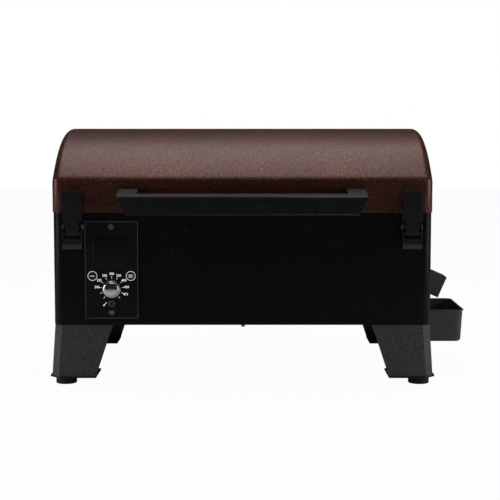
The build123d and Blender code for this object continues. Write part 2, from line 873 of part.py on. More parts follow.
def probe_jack():
    nut = rod_y(jack_radius, panel_x, panel_face - 2.5, panel_face, jack_z)
    nut = fillet(nut.edges().group_by(Axis.Y)[0], 0.6)
    barrel = rod_y(jack_radius - 1, panel_x, panel_face, panel_face + 16, jack_z)
    jack = nut + barrel
    return jack - rod_y(jack_bore_radius, panel_x, panel_face - 3, panel_face - 2.5 + jack_bore_length, jack_z)


def cooking_grate(sign):
    x0, x1 = between(sign, 0.5, grate_width / 2)
    half = grate_depth / 2
    grate = block(x0, x1, -half, half, grate_low, grate_low + grate_thick)
    reach = half - grate_border
    count = int((grate_width / 2 - 2 * grate_border) // grate_pitch)
    run = (count - 1) * grate_pitch
    start = (x0 + x1 - run) / 2
    slots = []
    for index in range(count):
        x = start + index * grate_pitch
        for y0, y1 in ((-reach, -4), (4, reach)):
            slots.append(block(x - grate_slot / 2, x + grate_slot / 2, y0, y1, grate_low - 1,
                               grate_low + grate_thick + 1))
    return grate - slots


def grate_rail(sign):
    wall = back - sheet
    y0, y1 = between(sign, grate_depth / 2 - 4, wall)
    z0 = grate_rest
    half = grate_rail_length / 2
    rail = block(-half, half, y0, y1, z0, grate_low)
    y0, y1 = between(sign, wall - sheet, wall)
    return rail + block(-half, half, y0, y1, z0, grate_low + 12)


def on_broiler(shape):
    """Puts a piece drawn flat onto the sloping plate; its upper face is at height 0."""
    return Location((broiler_x, 0, level(broiler_above_floor)), (0, broiler_slope, 0)) * shape


def broiler_plate():
    half = broiler_length / 2
    deep = broiler_depth / 2
    x = -broiler_x
    gap = broiler_window / 2
    plate = block(-half, half, -deep, deep, -sheet, 0)
    plate -= block(x - gap, x + gap, -gap, gap, -sheet - 1, 1)
    for sign in (-1, 1):
        y0, y1 = between(sign, deep - sheet, deep)
        plate += block(-half, half, y0, y1, -sheet, broiler_lip)
        edge = slider_width / 2 + flat_gap
        x0, x1 = between(sign, edge, edge + sheet)
        plate += block(x + x0, x + x1, -slider_length / 2, deep - 5, -sheet, 4.2)
        x0, x1 = between(sign, edge - 5, edge + sheet)
        plate += block(x + x0, x + x1, -slider_length / 2, deep - 5, 2.6, 4.2)
    return on_broiler(plate)


def broiler_slider():
    x = -broiler_x
    half = slider_width / 2
    reach = slider_length / 2
    slider = block(x - half, x + half, -reach, reach, flat_gap, flat_gap + sheet)
    slider += block(x - 12, x + 12, -reach, -reach + sheet, flat_gap, 11)
    return on_broiler(slider)


def broiler_under(x):
    """The height of the sloping plate's underside above one X place."""
    slope = math.radians(broiler_slope)
    return level(broiler_above_floor) - (x - broiler_x) * math.tan(slope) - sheet / math.cos(slope)


def broiler_posts():
    posts = []
    for x in (broiler_x - broiler_length / 2 + 8, broiler_x + broiler_length / 2 - 24):
        for y in (-broiler_depth / 2 + 4, broiler_depth / 2 - 16):
            outline = [(x, floor_top), (x + 12, floor_top), (x + 12, broiler_under(x + 12)), (x, broiler_under(x))]
            posts.append(front_profile(outline, y, y + 12))
    return posts


def grease_gutter():
    half = gutter_depth / 2
    wall = side - sheet
    low = level(gutter_low)
    high = level(gutter_high)
    gutter = block(gutter_left, wall, -half, half, low, high)
    gutter -= block(gutter_left + sheet, wall - sheet, -half + sheet, half - sheet, low + sheet, high + 1)
    passage = spout_width / 2 - 3
    gutter -= block(wall - 5, wall + 5, -passage, passage, low + sheet, high - 5)
    for y in (-half + 10, half - 20):
        gutter += block(wall - 12, wall, y, y + 10, floor_top, low)
    return gutter


def spout_outline(inset):
    """The chute in X and Z, square to its own slope at the tip."""
    slope = math.radians(spout_slope)
    along = Vector(math.cos(slope), -math.sin(slope))
    up = Vector(math.sin(slope), math.cos(slope))
    tall = spout_height - 2 * inset
    low_wall = Vector(side, spout_wall_low + inset / math.cos(slope))
    back_up = along * (2.0 if inset else 0.0)
    tip = low_wall + along * (spout_reach + (2.0 if inset else 0.0))
    points = [low_wall - back_up, tip, tip + up * tall]
    wall_top = low_wall + Vector(0, tall / math.cos(slope))
    points.append(wall_top - back_up)
    return [(point.X, point.Y) for point in points]


def grease_spout():
    half = spout_width / 2
    flange = block(side, side + sheet, -half - spout_flange, half + spout_flange,
                   spout_wall_low - 6, level(gutter_high) + 2 * rivet_head + 2)
    spout = front_profile(spout_outline(0), -half, half) + flange
    spout -= front_profile(spout_outline(sheet), -half + sheet, half - sheet)
    return bolt_holes(spout, rivet_radius, spout_screw_places())


def bucket_form(inset):
    top = bucket_rim_z + (1.0 if inset else 0.0)
    low = bucket_rim_z - bucket_height + inset
    width = bucket_top_width - 2 * inset
    length = bucket_length - 2 * inset
    upper = RectangleRounded(width, length, bucket_corner - inset)
    lower = RectangleRounded(width - 2 * bucket_taper, length - 2 * bucket_taper, bucket_corner - inset)
    form = loft([Plane.XY.offset(low) * lower, Plane.XY.offset(top) * upper])
    form = fillet(form.edges().group_by(Axis.Z)[0], bucket_bottom_radius - inset)
    return Location((bucket_middle, 0, 0)) * form


def grease_bucket():
    bucket = bucket_form(0)
    rim = extrude(Plane.XY.offset(bucket_rim_z - 1.5) * RectangleRounded(
        bucket_top_width + 2 * bucket_rim, bucket_length + 2 * bucket_rim, bucket_corner + bucket_rim), amount=1.5)
    bucket += Location((bucket_middle, 0, 0)) * rim
    return bucket - bucket_form(bucket_sheet)


def bucket_hanger():
    rim_low = bucket_rim_z - 1.5
    plate = block(side, side + sheet, -45, 45, rim_low - 3, rim_low + 20)
    shelf = block(side + sheet, bucket_left + bucket_rim - 0.35, -45, 45, rim_low - 2, rim_low)
    return plate + shelf


def burn_pot():
    pot = rod_z(pot_radius, 0, 0, pot_floor, pot_top)
    pot += rod_z(pot_rim_radius, 0, 0, pot_box_top, pot_box_top + sheet)
    pot -= rod_z(pot_radius - pot_wall, 0, 0, pot_floor + pot_wall, pot_top + 1)
    pot -= rod_z(cleanout_radius + fit, 0, 0, pot_floor - 1, pot_floor + pot_wall + 1)
    pot -= rod_y(auger_tube_radius + fit, 0, 15, pot_radius + 5, auger_z)
    pot -= rod_y(igniter_radius + fit, 0, 15, pot_radius + 5, igniter_z)
    for index in range(pot_hole_count):
        turn = math.radians(360 * index / pot_hole_count)
        reach = pot_radius + 5
        end = (reach * math.sin(turn), -reach * math.cos(turn), pot_floor + 8)
        if abs(end[0]) > 8 or end[1] < 0:
            pot -= rod(pot_hole_radius, (0, 0, pot_floor + 8), end)
    return pot


def pot_housing():
    half = pot_box_size / 2
    box = block(-half, half, -half, half, floor_top, pot_box_top)
    box -= block(-half + pot_box_sheet, half - pot_box_sheet, -half + pot_box_sheet, half - pot_box_sheet,
                 floor_top - 1, pot_box_top - pot_box_sheet)
    box -= rod_z(pot_radius + fit, 0, 0, pot_box_top - 5, pot_box_top + 1)
    box -= rod_y(auger_tube_radius + fit, 0, half - 5, half + 5, auger_z)
    box -= rod_y(igniter_radius + fit, 0, half - 5, half + 5, igniter_z)
    return box - block(half - 5, half + 5, -25, 25, duct_low + 4, duct_low + 32)


def air_duct():
    left = pot_box_size / 2
    rear = back - sheet
    wall = pot_box_sheet
    duct = block(left, duct_right, duct_front, rear, duct_low, duct_high)
    duct -= block(left + wall, duct_right - wall, duct_front + wall, rear + 1, duct_low + wall, duct_high - wall)
    return duct - block(left - 1, left + 5, -25, 25, duct_low + 4, duct_low + 32)


def igniter():
    start = 28.0
    half = pot_box_size / 2
    stick = rod_y(igniter_radius, 0, start, start + igniter_length, igniter_z)
    return stick + block(-7, 7, half, half + 2, igniter_z - 7, igniter_z + igniter_radius + 0.2)


def cleanout_screw():
    screw = rod_z(cleanout_radius, 0, 0, body_low - cleanout_drop, pot_floor + pot_wall + 1)
    screw += rod_z(cleanout_radius + 3, 0, 0, pot_floor + pot_wall, pot_floor + pot_wall + 2)
    return screw + rod_z(cleanout_radius + 4, 0, 0, body_low - 6, body_low)


def auger_tube():
    start = pot_radius - 4
    tube = rod_y(auger_tube_radius, 0, start, auger_tube_back, auger_z)
    tube -= rod_y(auger_tube_radius - auger_tube_wall, 0, start - 1, auger_tube_back + 1, auger_z)
    return tube - block(-13, 13, back + outlet_front + 3, back + outlet_front + outlet_depth - 3,
                        auger_z, auger_z + auger_tube_radius + 1)


def auger_bushing():
    ring = rod_y(auger_tube_radius - auger_tube_wall, 0, auger_tube_back - bushing_length, auger_tube_back, auger_z)
    return ring - rod_y(auger_core_radius + pin_clearance, 0, auger_tube_back - bushing_length - 1,
                        auger_tube_back + 1, auger_z)


def auger():
    start = pot_radius + 2
    stop = auger_tube_back - bushing_length - 6
    mean = (flight_radius + auger_core_radius) / 2
    path = Helix(pitch=flight_pitch, height=stop - start, radius=mean)
    wide = flight_radius - auger_core_radius + 1
    section = Plane(origin=path @ 0, z_dir=path % 0, x_dir=(1, 0, 0)) * Rectangle(wide, flight_thick)
    flight = sweep(section, path=path, is_frenet=True)
    flight = Location((0, start, auger_z), (-90, 0, 0)) * flight
    limit = rod_y(flight_radius, 0, start - 5, stop + 5, auger_z)
    shaft_end = auger_tube_back + 2 + motor_shaft_depth - 1
    return (flight & limit) + rod_y(auger_core_radius, 0, start - 2, shaft_end, auger_z)


def auger_motor():
    near = auger_tube_back + 2
    low = auger_z - motor_below_shaft
    half = motor_width / 2
    motor = block(-half, half, near, near + motor_length, low, low + motor_height)
    motor = chamfer(motor.edges().filter_by(Axis.Y), 3)
    return motor - rod_y(auger_core_radius + pin_clearance, 0, near - 1, near + motor_shaft_depth, auger_z)


def motor_bracket():
    near = auger_tube_back + 2
    return block(-22, 22, near + 4, near + motor_length - 4, housing_floor, auger_z - motor_below_shaft)


def fan_frame():
    half = fan_size / 2
    frame = block(fan_x - half, fan_x + half, back, back + fan_depth, fan_z - half, fan_z + half)
    frame = chamfer(frame.edges().filter_by(Axis.Y), 4)
    frame -= rod_y(fan_bore, fan_x, back - 1, back + fan_depth + 1, fan_z)
    rear = back + fan_depth
    frame += rod_y(9, fan_x, rear - 2.5, rear, fan_z)
    for turn in (30, 150, 270):
        angle = math.radians(turn)
        end = (fan_x + (fan_bore + 1) * math.cos(angle), rear - 1.25, fan_z + (fan_bore + 1) * math.sin(angle))
        frame += rod(1.2, (fan_x, rear - 1.25, fan_z), end)
    return frame + rod_y(2, fan_x, back + 4, rear - 1, fan_z)


def fan_rotor():
    near = back + 3.5
    far = back + fan_depth - 3.2
    rotor = rod_y(fan_hub_radius, fan_x, near, far, fan_z)
    middle = (near + far) / 2
    for index in range(fan_blade_count):
        turn = 360 * index / fan_blade_count
        blade = Location((0, 0, (fan_hub_radius + fan_blade_radius) / 2 - 1)) * Box(
            1.4, 14, fan_blade_radius - fan_hub_radius + 1)
        blade = Location((0, 0, 0), (0, 0, 35)) * blade
        blade = Location((fan_x, middle, fan_z), (0, turn, 0)) * blade
        rotor += blade
    inside = rod_y(fan_blade_radius, fan_x, near, far, fan_z)
    return (rotor & inside) - rod_y(2 + pin_clearance, fan_x, near - 1, far + 1, fan_z)


def rear_housing():
    outer = block(-housing_side, housing_side, back, housing_back, housing_floor, housing_top)
    outer -= block(-housing_side + sheet, housing_side - sheet, back - 1, housing_back - sheet,
                   housing_floor - 1, housing_top + 1)
    for sign in (-1, 1):
        x0, x1 = between(sign, housing_side - sheet, housing_side + housing_flange)
        outer += block(x0, x1, back, back + sheet, housing_floor, housing_top)
    for index in range(6):
        z = fan_z - 22 + index * 8
        outer -= block(fan_x - 25, fan_x + 25, housing_back - 5, housing_back + 5, z, z + 4)
    half = inlet_width / 2 - 2
    tall = inlet_height / 2 - 4
    middle = level(inlet_above_floor)
    return outer - block(inlet_x - half, inlet_x + half, housing_back - 5, housing_back + 5,
                         middle - tall, middle + tall)


def service_cover():
    return block(-housing_side, housing_side, back + flat_gap, housing_back, housing_floor - sheet, housing_floor)


def hopper_section(z, inset):
    """The bin's sloping part, from its ledge down to the outlet over the auger."""
    share = (z - outlet_z) / (bin_low - outlet_z)
    wide = outlet_width + (bin_width - 2 * bin_ledge - outlet_width) * share - 2 * inset
    front_y = back + outlet_front + (bin_front + bin_ledge - outlet_front) * share + inset
    deep = outlet_depth + (bin_depth - 2 * bin_ledge - outlet_depth) * share - 2 * inset
    return Plane.XY.offset(z) * Location((0, front_y + deep / 2, 0)) * Rectangle(wide, deep)


def hopper_bin():
    half = bin_width / 2
    y0 = back + bin_front
    y1 = y0 + bin_depth
    flange = block(-housing_side, housing_side, back + 2, housing_back, housing_top, housing_top + sheet)
    straight = block(-half, half, y0, y1, bin_low - sheet, housing_top + sheet)
    slope = loft([hopper_section(outlet_z, 0), hopper_section(bin_low, 0)])
    bin_shape = flange + straight + slope
    bin_shape -= block(-half + bin_sheet, half - bin_sheet, y0 + bin_sheet, y1 - bin_sheet,
                       bin_low, housing_top + sheet + 1)
    room = loft([hopper_section(outlet_z - 1, bin_sheet), hopper_section(bin_low + 0.5, bin_sheet)])
    return bin_shape - room


def hopper_guard():
    half = bin_width / 2 - bin_sheet - flat_gap
    y0 = back + bin_front + bin_sheet + flat_gap
    y1 = back + bin_front + bin_depth - bin_sheet - flat_gap
    guard = block(-half, half, y0, y1, bin_low, bin_low + guard_thick)
    slots = []
    count = int((2 * half - 10) // guard_pitch)
    for index in range(count):
        x = (index - (count - 1) / 2) * guard_pitch
        middle = (y0 + y1) / 2
        for low, high in ((y0 + 8, middle - 3), (middle + 3, y1 - 8)):
            slots.append(block(x - guard_slot / 2, x + guard_slot / 2, low, high, bin_low - 1,
                               bin_low + guard_thick + 1))
    return guard - slots


def hopper_knuckle(sign, x_near, x_far, from_lid):
    """A barrel on the hopper lid's axis, with a web to the lid or to a plate on the housing."""
    x0, x1 = between(sign, x_near, x_far)
    barrel = rod_x(hopper_knuckle_radius, x0, x1, hopper_hinge_y, hopper_hinge_z)
    if from_lid:
        barrel += block(x0, x1, housing_back - 4, hopper_hinge_y, hopper_lid_low, hopper_lid_low + sheet)
    else:
        barrel += block(x0, x1, housing_back, housing_back + sheet, hopper_hinge_z - 24, hopper_hinge_z - 2)
        barrel += block(x0, x1, housing_back, hopper_hinge_y, hopper_hinge_z - 6, hopper_hinge_z - 2)
    return barrel - rod_x(hopper_pin_radius + pin_clearance, x0 - 1, x1 + 1, hopper_hinge_y, hopper_hinge_z)


def hopper_lid():
    wide = housing_side + flat_gap + sheet
    y0 = back + 4.5
    y1 = housing_back - 0.5
    lid = block(-wide, wide, y0, y1, hopper_lid_low, hopper_lid_low + sheet)
    for sign in (-1, 1):
        x0, x1 = between(sign, housing_side + flat_gap, wide)
        lid += block(x0, x1, y0 + 1.5, y1 - 1.5, hopper_lid_low - hopper_lid_skirt, hopper_lid_low + sheet)
        lid += hopper_knuckle(sign, hopper_knuckle_inner, hopper_knuckle_inner + hopper_knuckle_length, True)
    lid += block(-40, 40, y0, y0 + sheet, hopper_lid_low, hopper_lid_low + 6.5)
    return lid


def hopper_hinge_leaf(sign):
    start = hopper_knuckle_inner + hopper_knuckle_length + knuckle_gap
    return hopper_knuckle(sign, start, start + hopper_knuckle_length, False)


def hopper_hinge_pin(sign):
    x0 = hopper_knuckle_inner - 1
    x1 = hopper_knuckle_inner + 2 * hopper_knuckle_length + knuckle_gap + 1
    low, high = between(sign, x0, x1)
    return rod_x(hopper_pin_radius, low, high, hopper_hinge_y, hopper_hinge_z)


def power_inlet():
    half = inlet_width / 2
    tall = inlet_height / 2
    middle = level(inlet_above_floor)
    inlet = block(inlet_x - half, inlet_x + half, housing_back, housing_back + 2.5, middle - tall, middle + tall)
    inlet += block(inlet_x - half + 2 + fit, inlet_x + half - 2 - fit, housing_back - 22, housing_back + 1,
                   middle - tall + 4 + fit, middle + tall - 4 - fit)
    return inlet - block(inlet_x - 8, inlet_x + 8, housing_back - 15, housing_back + 3, middle - 12, middle + 12)


def inlet_pins():
    middle = level(inlet_above_floor)
    pins = []
    for x, z in ((inlet_x - 3, middle - 7), (inlet_x + 3, middle), (inlet_x - 3, middle + 7)):
        pins.append(block(x - 1, x + 1, housing_back - 15, housing_back - 3, z - 2, z + 2))
    return pins


def save(name, shape):
    pieces = shape if isinstance(shape, list) else shape.solids()
    solids = []
    for piece in pieces:
        solids += piece.solids()
    export_step(Compound(solids).moved(origin_shift), f"parts/{name}.step")


def main():
    os.makedirs("parts", exist_ok=True)
    save("body_shell", body_shell())
    save("lid_shell", lid_shell())
    save("lid_seal", lid_seal())
    save("lid_handle", lid_handle())
    save("hinge_body_leaves", both_sides(body_hinge_leaf))
    save("hinge_lid_leaves", both_sides(lid_hinge_leaf))
    save("hinge_pins", both_sides(hinge_pin))
    save("body_rivets", rivets(body_rivets() + latch_rivets() + spout_screw_places()))
    save("lid_fasteners", rivets(lid_rivets() + keeper_rivets()) + handle_bolts())
    for sign, name in ((-1, "left"), (1, "right")):
        half = latch_width / 2
        x = sign * latch_spread
        save(f"latch_lever_{name}", [latch_lever(sign), pin_across(x, half, hook_pin_y, hook_pin_z)])
        save(f"latch_hook_{name}", latch_hook(sign))
        save(f"button_{name}", push_button(sign))
    save("latch_bases", both_sides(latch_base))
    save("latch_base_pins", [pin_across(sign * latch_spread, latch_width / 2, latch_pin_y, latch_pin_z)
                             for sign in (-1, 1)])
    save("latch_keepers", both_sides(latch_keeper))
    save("cooking_grates", both_sides(cooking_grate))
    for sx, sy, name in ((-1, -1, "front_left"), (1, -1, "front_right"), (-1, 1, "rear_left"), (1, 1, "rear_right")):
        save(f"leg_{name}", leg(sx, sy))
    save("foot_plates", each_corner(foot_plate))
    save("feet", each_corner(foot))
    bolts = [fastener(leg_bolt_radius, leg_bolt_radius + 3, start, end, 2.5, 4) for start, end in leg_bolt_places()]
    save("leg_fasteners", bolts + each_corner(foot_screw))
    save("panel_plate", panel_plate())
    save("panel_screws", panel_screws())
    save("display_window", display_window())
    save("control_knob", control_knob())
    save("probe_jack", probe_jack())
    save("control_box", control_box())
    save("control_board", [control_board(), dial_switch()])
    save("grate_rails", both_sides(grate_rail))
    save("broiler_plate", broiler_plate())
    save("broiler_slider", broiler_slider())
    save("broiler_posts", broiler_posts())
    save("grease_gutter", grease_gutter())
    save("grease_spout", grease_spout())
    save("grease_bucket", grease_bucket())
    save("bucket_hanger", bucket_hanger())
    save("burn_pot", burn_pot())
    save("pot_housing", pot_housing())
    save("air_duct", air_duct())
    save("igniter", igniter())
    save("cleanout_screw", cleanout_screw())
    save("chamber_probe", chamber_probe())
    save("auger_tube", [auger_tube(), auger_bushing()])
    save("auger", auger())
    save("auger_motor", auger_motor())
    save("fan_frame", fan_frame())
    save("fan_rotor", fan_rotor())
    save("rear_housing", rear_housing())
    save("service_cover", [service_cover(), motor_bracket()])
    save("hopper_bin", hopper_bin())
    save("hopper_guard", hopper_guard())
    save("hopper_lid", hopper_lid())
    save("hopper_hinge", both_sides(hopper_hinge_leaf) + both_sides(hopper_hinge_pin))
    save("power_inlet", [power_inlet()] + inlet_pins())


main()
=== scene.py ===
import json
import math
import bpy
import numpy as np
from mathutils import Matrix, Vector


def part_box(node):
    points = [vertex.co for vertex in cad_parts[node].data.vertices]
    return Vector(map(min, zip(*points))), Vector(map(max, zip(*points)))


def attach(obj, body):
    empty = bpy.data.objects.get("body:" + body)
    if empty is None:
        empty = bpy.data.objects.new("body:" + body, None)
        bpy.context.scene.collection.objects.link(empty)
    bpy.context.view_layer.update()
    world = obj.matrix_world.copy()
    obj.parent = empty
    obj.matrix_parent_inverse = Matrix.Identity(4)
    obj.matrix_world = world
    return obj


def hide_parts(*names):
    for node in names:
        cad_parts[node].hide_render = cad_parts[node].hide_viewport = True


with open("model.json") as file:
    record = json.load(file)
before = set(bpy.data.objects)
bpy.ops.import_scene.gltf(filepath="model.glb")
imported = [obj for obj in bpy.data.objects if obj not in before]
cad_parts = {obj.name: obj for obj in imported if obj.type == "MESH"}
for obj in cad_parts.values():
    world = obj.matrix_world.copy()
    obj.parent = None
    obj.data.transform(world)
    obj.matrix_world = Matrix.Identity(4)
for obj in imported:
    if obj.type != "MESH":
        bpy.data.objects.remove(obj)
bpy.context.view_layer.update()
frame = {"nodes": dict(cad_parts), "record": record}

nodes = frame["nodes"]
mm = 0.001
edgeAngle = 38          # edges of the carried-over nodes that are sharper than this are softened
samePoint = 0.01 * mm


def report(stage):
    print("grill:", stage)


# places read from the frame
panelLow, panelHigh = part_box("panel_plate")
panelFace = panelLow.y
panelX = (panelLow.x + panelHigh.x) / 2
knobLow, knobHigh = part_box("control_knob")
knobZ = (knobLow.z + knobHigh.z) / 2
knobX = (knobLow.x + knobHigh.x) / 2
jackLow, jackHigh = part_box("probe_jack")
jackZ = (jackLow.z + jackHigh.z) / 2
bodyLow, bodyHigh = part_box("body_shell")
bodyX = (bodyLow.x + bodyHigh.x) / 2
bodyY = (bodyLow.y + bodyHigh.y) / 2


# camera
def makeCamera():
    setup = {
        "distance": 1.850,      # from the front face
        "height": 0.3646,
        "sideStep": 0.0108,     # to the right of the body's middle
        "tiltDown": 5.26,
        "lens": 93.9,
    }
    data = bpy.data.cameras.new("grillCamera")
    data.lens = setup["lens"]
    data.sensor_width = 36.0
    data.dof.use_dof = False
    data.clip_start = 0.05
    camera = bpy.data.objects.new("grillCamera", data)
    camera.location = (bodyX + setup["sideStep"], bodyLow.y - setup["distance"], setup["height"])
    camera.rotation_euler = (math.radians(90 - setup["tiltDown"]), 0, 0)
    bpy.context.scene.collection.objects.link(camera)
    bpy.context.scene.camera = camera


makeCamera()


# one material's node tree, with short calls for the nodes used below
class Paint:

    def __init__(self, name):
        self.material = bpy.data.materials.new(name)
        self.material.use_nodes = True
        self.tree = self.material.node_tree
        self.shader = self.tree.nodes["Principled BSDF"]
        self.place = self.add("ShaderNodeTexCoord").outputs["Object"]

    def add(self, kind, **values):
        node = self.tree.nodes.new(kind)
        for key, value in values.items():
            if hasattr(node, key) and key not in node.inputs:
                setattr(node, key, value)
            else:
                node.inputs[key].default_value = value
        return node

    def join(self, source, target):
        self.tree.links.new(source, target)

    def noise(self, scale, detail=3.0, roughness=0.5):
        node = self.add("ShaderNodeTexNoise", Scale=scale, Detail=detail, Roughness=roughness)
        self.join(self.place, node.inputs["Vector"])
        return node.outputs["Fac"]

    def cells(self, scale, smooth=0.4):
        node = self.add("ShaderNodeTexVoronoi", feature="SMOOTH_F1", Scale=scale, Smoothness=smooth)
        self.join(self.place, node.inputs["Vector"])
        return node.outputs["Distance"]

    def ramp(self, source, stops):
        node = self.add("ShaderNodeValToRGB")
        ramp = node.color_ramp
        while len(ramp.elements) < len(stops):
            ramp.elements.new(0.5)
        for element, (position, shade) in zip(ramp.elements, stops):
            element.position = position
            colour = shade if isinstance(shade, tuple) else (shade, shade, shade)
            element.color = (*colour, 1.0)
        self.join(source, node.inputs["Fac"])
        return node.outputs["Color"]

    def mix(self, factor, first, second, kind="MIX"):
        node = self.add("ShaderNodeMix", data_type="RGBA", blend_type=kind)
        inputs = node.inputs
        for value, socket in ((factor, inputs["Factor"]), (first, inputs["A"]), (second, inputs["B"])):
            if hasattr(value, "links"):
                self.join(value, socket)
            elif isinstance(value, tuple):
                socket.default_value = (*value, 1.0)
            else:
                socket.default_value = value
        return node.outputs["Result"]

    def sums(self, operation, first, second):
        node = self.add("ShaderNodeMath", operation=operation)
        for value, socket in ((first, node.inputs[0]), (second, node.inputs[1])):
            if hasattr(value, "links"):
                self.join(value, socket)
            else:
                socket.default_value = value
        return node.outputs[0]

    def bump(self, height, distance, strength=1.0):
        node = self.add("ShaderNodeBump", Strength=strength, Distance=distance)
        self.join(height, node.inputs["Height"])
        self.join(node.outputs["Normal"], self.shader.inputs["Normal"])

    def colour(self, source):
        self.join(source, self.shader.inputs["Base Color"])

    def rough(self, source):
        self.join(source, self.shader.inputs["Roughness"])

    def fixed(self, **values):
        for key, value in values.items():
            self.shader.inputs[key.replace("_", " ")].default_value = value


# the finishes
def lidEnamel():
    # mahogany hammertone: flat pebbles with glossy rims, fine bright flecks, a slow drift of shade
    look = {"pebble": 380, "fleck": 900, "drift": 9, "depth": 0.00030}
    paint = Paint("lidEnamel")
    pebbles = paint.cells(look["pebble"], 0.55)
    fine = paint.noise(look["pebble"] * 2.2, 4.0, 0.6)
    drift = paint.noise(look["drift"], 2.0)
    base = paint.ramp(pebbles, [(0.05, (0.105, 0.020, 0.011)), (0.45, (0.070, 0.012, 0.006)),
                                (0.85, (0.016, 0.005, 0.0035))])
    flecks = paint.ramp(paint.noise(look["fleck"], 2.0, 0.7), [(0.56, 0.0), (0.63, 1.0)])
    tone = paint.mix(flecks, base, (0.46, 0.16, 0.10))
    shade = paint.ramp(drift, [(0.3, 0.82), (0.7, 1.12)])
    paint.colour(paint.mix(1.0, tone, shade, "MULTIPLY"))
    paint.rough(paint.ramp(fine, [(0.3, 0.34), (0.7, 0.48)]))
    paint.bump(paint.sums("ADD", pebbles, paint.sums("MULTIPLY", fine, 0.35)), look["depth"], 0.7)
    paint.fixed(Metallic=0.42, Coat_Weight=0.22, Coat_Roughness=0.30)
    return paint.material


def bodyPaint():
    # fine black powder coat: a tight orange-peel grain with scattered pale pin points
    look = {"grain": 1400, "peel": 330, "depth": 0.00006}
    paint = Paint("bodyPaint")
    grain = paint.noise(look["grain"], 3.0, 0.6)
    peel = paint.noise(look["peel"], 2.0)
    points = paint.ramp(paint.noise(900, 1.0, 0.3), [(0.735, 0.0), (0.79, 1.0)])
    base = paint.ramp(peel, [(0.3, 0.0014), (0.7, 0.0030)])
    paint.colour(paint.mix(points, base, (0.11, 0.11, 0.115)))
    paint.rough(paint.ramp(grain, [(0.3, 0.36), (0.7, 0.52)]))
    paint.bump(paint.sums("ADD", grain, peel), look["depth"], 0.6)
    paint.fixed(Specular_IOR_Level=0.18)
    return paint.material


def legPaint():
    # dark grey hammertone with a little metal in it
    look = {"pebble": 620, "fleck": 1200, "depth": 0.00018}
    paint = Paint("legPaint")
    pebbles = paint.cells(look["pebble"], 0.5)
    fine = paint.noise(look["fleck"], 3.0, 0.6)
    base = paint.ramp(pebbles, [(0.05, 0.13), (0.45, 0.085), (0.8, 0.035)])
    flecks = paint.ramp(fine, [(0.60, 0.0), (0.74, 1.0)])
    paint.colour(paint.mix(flecks, base, (0.36, 0.36, 0.37)))
    paint.rough(paint.ramp(fine, [(0.3, 0.36), (0.7, 0.5)]))
    paint.bump(pebbles, look["depth"], 0.6)
    paint.fixed(Metallic=0.35)
    return paint.material


def satinBlack(name="satinBlack", tone=0.006, low=0.30, high=0.42):
    # smooth black paint with faint cloudiness, as on the handle and latches
    paint = Paint(name)
    cloud = paint.noise(60, 3.0)
    grain = paint.noise(2200, 2.0)
    paint.colour(paint.ramp(cloud, [(0.3, tone * 0.75), (0.7, tone * 1.25)]))
    paint.rough(paint.ramp(cloud, [(0.3, low), (0.7, high)]))
    paint.bump(grain, 0.00003, 0.5)
    return paint.material


def panelBlack():
    # matt printed overlay film: near black with a fine tooth
    paint = Paint("panelBlack")
    tooth = paint.noise(2600, 2.0, 0.6)
    cloud = paint.noise(45, 2.0)
    paint.colour(paint.ramp(cloud, [(0.3, 0.0020), (0.7, 0.0042)]))
    paint.fixed(Specular_IOR_Level=0.25)
    paint.rough(paint.ramp(tooth, [(0.3, 0.48), (0.7, 0.62)]))
    paint.bump(tooth, 0.00003, 0.5)
    return paint.material


def windowGlass():
    # smoked window with a black back: very smooth, a faint haze of wiping marks
    paint = Paint("windowGlass")
    haze = paint.noise(25, 4.0, 0.6)
    paint.colour(paint.ramp(haze, [(0.3, (0.0006, 0.0006, 0.0008)), (0.7, (0.0012, 0.0012, 0.0014))]))
    paint.rough(paint.ramp(haze, [(0.35, 0.05), (0.75, 0.12)]))
    paint.fixed(IOR=1.52)
    return paint.material


def chromeTrim():
    paint = Paint("chromeTrim")
    swirl = paint.noise(120, 4.0, 0.7)
    paint.colour(paint.ramp(swirl, [(0.3, 0.66), (0.7, 0.80)]))
    paint.rough(paint.ramp(swirl, [(0.35, 0.07), (0.7, 0.18)]))
    paint.fixed(Metallic=1.0)
    return paint.material


def zincSteel(name="zincSteel", tone=0.50, low=0.28, high=0.44):
    # plated sheet: spangle, light smears and a rolled grain
    paint = Paint(name)
    spangle = paint.cells(160, 0.1)
    smear = paint.noise(35, 4.0, 0.6)
    mixed = paint.mix(0.5, spangle, smear)
    paint.colour(paint.ramp(mixed, [(0.2, tone * 0.75), (0.7, tone)]))
    paint.rough(paint.ramp(smear, [(0.3, low), (0.7, high)]))
    paint.bump(smear, 0.00004, 0.4)
    paint.fixed(Metallic=1.0)
    return paint.material


def sootSteel():
    # bare steel near the fire: heat tint and soot
    paint = Paint("sootSteel")
    soot = paint.noise(22, 5.0, 0.65)
    speck = paint.noise(700, 2.0)
    paint.colour(paint.ramp(soot, [(0.3, (0.035, 0.030, 0.027)), (0.55, (0.13, 0.105, 0.085)),
                                   (0.8, (0.24, 0.22, 0.20))]))
    paint.rough(paint.ramp(soot, [(0.3, 0.62), (0.8, 0.36)]))
    paint.bump(speck, 0.00004, 0.5)
    paint.fixed(Metallic=0.8)
    return paint.material


def grateIron():
    paint = Paint("grateIron")
    sand = paint.noise(520, 4.0, 0.6)
    bloom = paint.noise(18, 3.0)
    paint.colour(paint.ramp(bloom, [(0.3, (0.012, 0.012, 0.013)), (0.7, (0.030, 0.028, 0.027))]))
    paint.rough(paint.ramp(sand, [(0.3, 0.42), (0.7, 0.62)]))
    paint.bump(sand, 0.00012, 0.6)
    return paint.material


